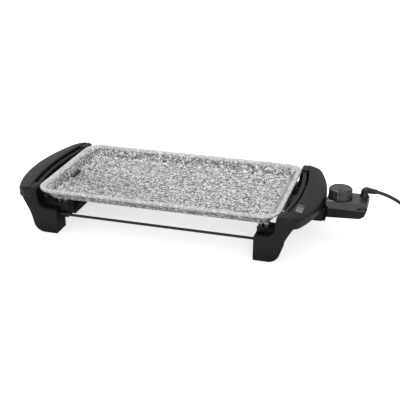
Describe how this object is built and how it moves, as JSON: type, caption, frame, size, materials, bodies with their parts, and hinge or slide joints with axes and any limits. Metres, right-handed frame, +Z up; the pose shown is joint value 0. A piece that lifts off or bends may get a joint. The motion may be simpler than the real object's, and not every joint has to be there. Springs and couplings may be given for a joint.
{
  "type": "electric table griddle",
  "caption": "Open electric griddle: shallow speckled plate with a drain slot between two half-moon black end frames joined by rods, with drip tray, plug-in thermostat and lead.",
  "frame": {"origin": "on the table, under the middle of the appliance from the left handle's outer edge to the thermostat's outer face (the lead, coil and plug aren't counted)", "axes": "+X along the plate towards the thermostat, +Y to the back, +Z up"},
  "size_m": [0.8712, 0.3035, 0.0983],
  "materials": {
    "stone_coating": "speckled stone-look non-stick coating on cast aluminium, satin",
    "element_steel": "dull, heat-tinted",
    "brass": "bright",
    "ceramic": "glazed ceramic, off-white",
    "sheet_steel": "plain bent sheet",
    "black_moulding": "fine-grained moulding, black",
    "screw_steel": "zinc plated",
    "blackened_rod": "black, satin",
    "foot_rubber": "matte",
    "tray_moulding": "black, satin",
    "lamp_clear": "clear with a pink tint",
    "lamp_glow": "red",
    "thermostat_grey": "satin, dark grey",
    "contact_moulding": "moulded phenolic, dark",
    "probe_steel": "bright",
    "knob_black": "satin, black",
    "cord_rubber": "smooth, black",
    "tie_plastic": "black",
    "nickel": "nickel plated"
  },
  "bodies": {
    "base": {"griddle_plate": "stone_coating", "heating_element": "element_steel", "terminal_pins": "brass", "terminal_insulators": "ceramic", "terminal_guard": "sheet_steel", "left_end_frame": "black_moulding", "right_end_frame": "black_moulding", "left_handle_cover": "black_moulding", "right_handle_cover": "black_moulding", "cover_screws": "screw_steel", "front_tie_rod": "blackened_rod", "rear_tie_rod": "blackened_rod", "rubber_feet": "foot_rubber", "tray_rails": "black_moulding", "socket_shroud": "black_moulding", "lamp_lens": "lamp_clear", "neon_lamp": "lamp_glow"},
    "tray": {"drip_tray": "tray_moulding"},
    "thermostat": {"thermostat_base": "black_moulding", "thermostat_top": "thermostat_grey", "contact_block": "contact_moulding", "contact_sockets": "brass", "sensor_probe": "probe_steel", "switch_block": "contact_moulding", "housing_screws": "screw_steel", "strain_relief": "cord_rubber", "power_cord": "cord_rubber", "power_cord_coil": "cord_rubber", "coil_tie": "tie_plastic", "mains_plug": "cord_rubber", "plug_pins": "nickel"},
    "knob": {"control_knob": "knob_black", "knob_spindle": "screw_steel", "knob_cap": "thermostat_grey"}
  },
  "joints": [
    {"name": "thermostat_slide", "type": "slide", "parent": "base", "child": "thermostat", "axis": [1, 0, 0], "range_m": [0, 0.1]},
    {"name": "knob_turn", "type": "hinge", "parent": "thermostat", "child": "knob", "pos_m": [0.2795, 0.012, 0.0798], "axis": [0, 0, -1], "range_deg": [0, 270]},
    {"name": "tray_slide", "type": "slide", "parent": "base", "child": "tray", "axis": [-1, 0, 0], "range_m": [0, 0.09]}
  ]
}
